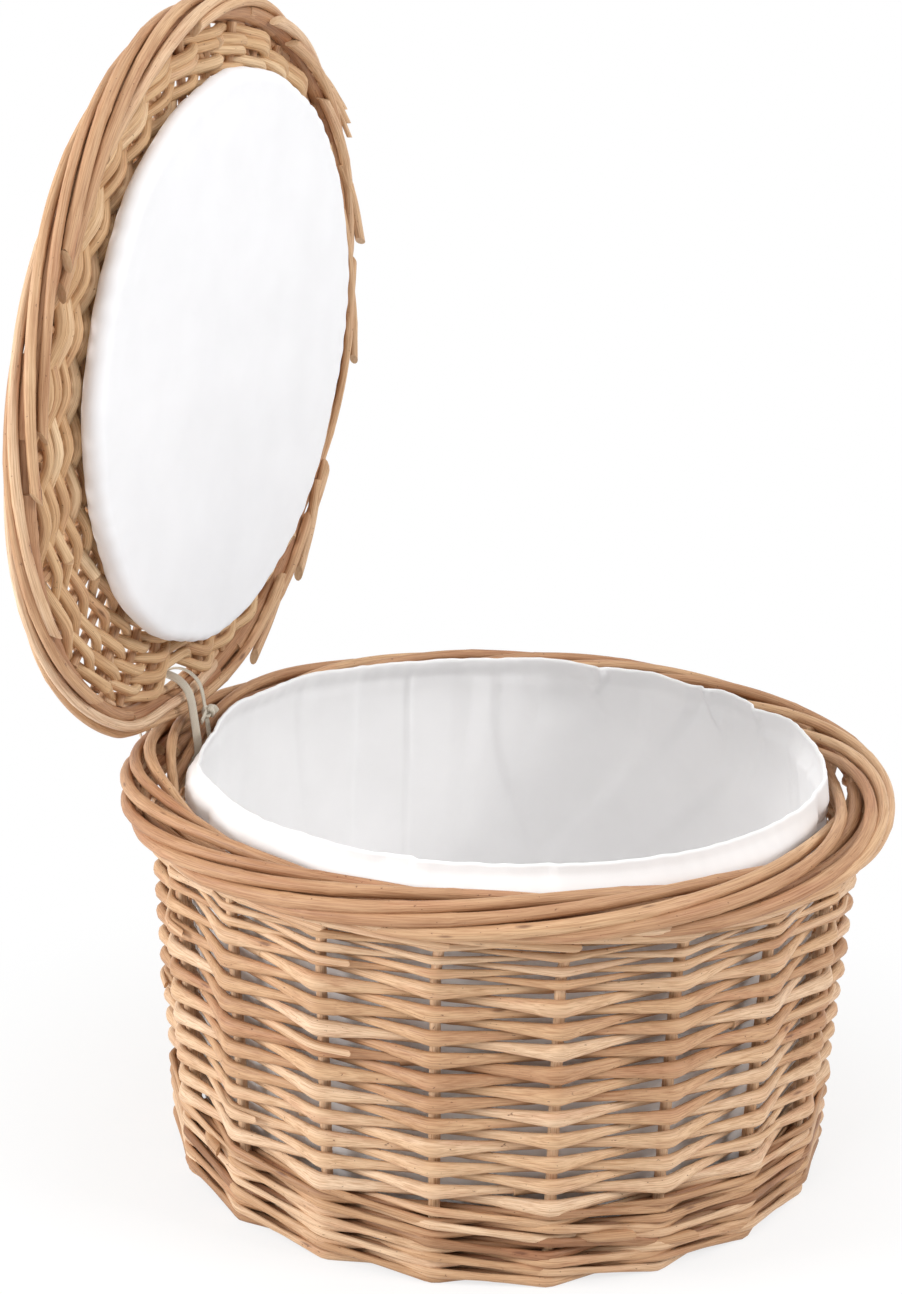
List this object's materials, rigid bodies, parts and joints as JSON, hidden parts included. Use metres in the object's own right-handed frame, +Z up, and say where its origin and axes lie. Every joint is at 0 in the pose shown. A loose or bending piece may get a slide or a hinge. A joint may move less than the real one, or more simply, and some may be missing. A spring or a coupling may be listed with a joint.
{
  "type": "lidded egg basket",
  "caption": "Round woven willow basket with a lashed wicker lid standing open, a white cotton lining and a padded cotton disc inside the lid, for holding eggs or bread.",
  "frame": {"origin": "centre of the woven base, on the floor", "axes": "+Z up; +X to the right of the picture and +Y away from its camera; the lid is hinged at 159.7 degrees from +X"},
  "size_m": [0.3263, 0.3278, 0.4399],
  "materials": {
    "willow": "peeled buff willow, satin",
    "willow_dark": "peeled buff willow, thicker rods, satin",
    "cotton": "plain white cotton, matt",
    "tape": "cream woven tape, matt"
  },
  "bodies": {
    "basket": {"base_sticks": "willow_dark", "base_inner_weaver": "willow", "base_outer_weaver": "willow", "upsett_weaver_01": "willow_dark", "upsett_weaver_02": "willow_dark", "upsett_weaver_03": "willow_dark", "siding_weaver_lower": "willow", "siding_weaver_middle": "willow", "siding_weaver_upper": "willow", "stake_01": "willow", "stake_02": "willow", "stake_03": "willow", "stake_04": "willow", "stake_05": "willow", "stake_06": "willow", "stake_07": "willow", "stake_08": "willow", "stake_09": "willow", "stake_10": "willow", "stake_11": "willow", "stake_12": "willow", "stake_13": "willow", "stake_14": "willow", "stake_15": "willow", "stake_16": "willow", "stake_17": "willow", "stake_18": "willow", "stake_19": "willow", "liner": "cotton", "lashing_strap": "tape", "lashing_knot": "tape"},
    "lid": {"lid_sticks": "willow_dark", "lid_inner_weaver": "willow", "lid_outer_weaver": "willow", "lid_border_rod_01": "willow", "lid_border_rod_02": "willow", "lid_border_rod_03": "willow", "lid_border_rod_04": "willow", "lid_border_rod_05": "willow", "lid_border_rod_06": "willow", "lid_border_rod_07": "willow", "lid_border_rod_08": "willow", "lid_border_rod_09": "willow", "lid_border_rod_10": "willow", "lid_border_rod_11": "willow", "lid_border_rod_12": "willow", "lid_border_rod_13": "willow", "lid_border_rod_14": "willow", "lid_border_rod_15": "willow", "lid_border_rod_16": "willow", "lid_border_rod_17": "willow", "lid_border_rod_18": "willow", "lid_pad": "cotton"}
  },
  "joints": [
    {"name": "lid_lashing", "type": "hinge", "parent": "basket", "child": "lid", "pos_m": [-0.12915, 0.04777, 0.16599], "axis": [-0.3469, -0.9379, 0], "range_deg": [-86.5, 93.5]}
  ]
}
